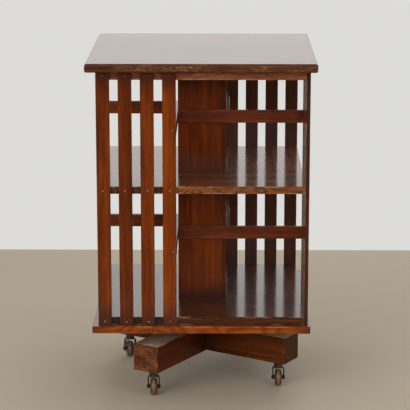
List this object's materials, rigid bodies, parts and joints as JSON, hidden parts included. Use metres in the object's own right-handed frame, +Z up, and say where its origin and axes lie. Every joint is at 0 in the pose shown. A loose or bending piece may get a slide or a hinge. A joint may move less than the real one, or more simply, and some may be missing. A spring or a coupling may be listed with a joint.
{
  "type": "revolving bookcase",
  "caption": "Square two-tier wooden bookcase with slatted faces that revolves on a spindle in a cross base on swivel castors.",
  "frame": {"origin": "on the floor under the spindle's axis, at the centre of the square top seen from above", "axes": "+Z up along the spindle; -Y faces the viewer of the picture, with the case's faces square to X and Y and the cross turned under it"},
  "size_m": [0.55, 0.55, 0.845],
  "materials": {
    "top_wood": "polished shellac over reddish-brown hardwood",
    "shelf_wood": "polished shellac over dark red-brown hardwood",
    "slat_wood": "polished shellac over red-brown hardwood",
    "rail_wood": "polished shellac over dark hardwood",
    "column_wood": "polished shellac over orange-brown hardwood with upright grain",
    "beam_wood": "worn polish over dark hardwood, dusty on top",
    "cast_iron": "blackened casting",
    "spindle_steel": "turned and oiled",
    "castor_iron": "aged dark lacquer",
    "castor_wheel": "worn brown bakelite"
  },
  "bodies": {
    "base": {"castor_plates": "castor_iron", "cross_beam_front_rear": "beam_wood", "cross_beam_left_right": "beam_wood", "spindle": "spindle_steel", "spindle_socket": "cast_iron"},
    "castor_swivel_right": {"castor_fork_right": "castor_iron", "castor_axle_right": "castor_iron"},
    "castor_roller_right": {"castor_wheel_right": "castor_wheel"},
    "castor_swivel_rear": {"castor_fork_rear": "castor_iron", "castor_axle_rear": "castor_iron"},
    "castor_roller_rear": {"castor_wheel_rear": "castor_wheel"},
    "castor_swivel_left": {"castor_fork_left": "castor_iron", "castor_axle_left": "castor_iron"},
    "castor_roller_left": {"castor_wheel_left": "castor_wheel"},
    "castor_swivel_front": {"castor_fork_front": "castor_iron", "castor_axle_front": "castor_iron"},
    "castor_roller_front": {"castor_wheel_front": "castor_wheel"},
    "case": {"base_plate": "shelf_wood", "column_panel_front": "column_wood", "column_panel_left": "column_wood", "column_panel_rear": "column_wood", "column_panel_right": "column_wood", "guide_bush": "cast_iron", "lower_board_front": "shelf_wood", "lower_board_left": "shelf_wood", "lower_board_rear": "shelf_wood", "lower_board_right": "shelf_wood", "lower_stop_rail_front": "rail_wood", "lower_stop_rail_left": "rail_wood", "lower_stop_rail_rear": "rail_wood", "lower_stop_rail_right": "rail_wood", "pivot_cup": "cast_iron", "shelf_front": "shelf_wood", "shelf_left": "shelf_wood", "shelf_rear": "shelf_wood", "shelf_right": "shelf_wood", "slat_front_1": "slat_wood", "slat_front_2": "slat_wood", "slat_front_3": "slat_wood", "slat_front_4": "slat_wood", "slat_left_1": "slat_wood", "slat_left_2": "slat_wood", "slat_left_3": "slat_wood", "slat_left_4": "slat_wood", "slat_rear_1": "slat_wood", "slat_rear_2": "slat_wood", "slat_rear_3": "slat_wood", "slat_rear_4": "slat_wood", "slat_right_1": "slat_wood", "slat_right_2": "slat_wood", "slat_right_3": "slat_wood", "slat_right_4": "slat_wood", "top_board": "top_wood", "upper_board": "shelf_wood", "upper_stop_rail_front": "rail_wood", "upper_stop_rail_left": "rail_wood", "upper_stop_rail_rear": "rail_wood", "upper_stop_rail_right": "rail_wood"}
  },
  "joints": [
    {"name": "case_spin", "type": "hinge", "parent": "base", "child": "case", "pos_m": [0, 0, 0.796], "axis": [0, 0, 1], "continuous": true},
    {"name": "castor_swivel_right", "type": "hinge", "parent": "base", "child": "castor_swivel_right", "pos_m": [0.19313, -0.11928, 0.053], "axis": [0, 0, 1], "continuous": true},
    {"name": "castor_roll_right", "type": "hinge", "parent": "castor_swivel_right", "child": "castor_roller_right", "pos_m": [0.19313, -0.11028, 0.0215], "axis": [1, 0, 0], "continuous": true},
    {"name": "castor_swivel_rear", "type": "hinge", "parent": "base", "child": "castor_swivel_rear", "pos_m": [0.11928, 0.19313, 0.053], "axis": [0, 0, 1], "continuous": true},
    {"name": "castor_roll_rear", "type": "hinge", "parent": "castor_swivel_rear", "child": "castor_roller_rear", "pos_m": [0.11928, 0.20213, 0.0215], "axis": [1, 0, 0], "continuous": true},
    {"name": "castor_swivel_left", "type": "hinge", "parent": "base", "child": "castor_swivel_left", "pos_m": [-0.19313, 0.11928, 0.053], "axis": [0, 0, 1], "continuous": true},
    {"name": "castor_roll_left", "type": "hinge", "parent": "castor_swivel_left", "child": "castor_roller_left", "pos_m": [-0.19531, 0.12801, 0.0215], "axis": [0.9703, 0.2419, 0], "continuous": true},
    {"name": "castor_swivel_front", "type": "hinge", "parent": "base", "child": "castor_swivel_front", "pos_m": [-0.11928, -0.19313, 0.053], "axis": [0, 0, 1], "continuous": true},
    {"name": "castor_roll_front", "type": "hinge", "parent": "castor_swivel_front", "child": "castor_roller_front", "pos_m": [-0.11928, -0.18413, 0.0215], "axis": [1, 0, 0], "continuous": true}
  ]
}
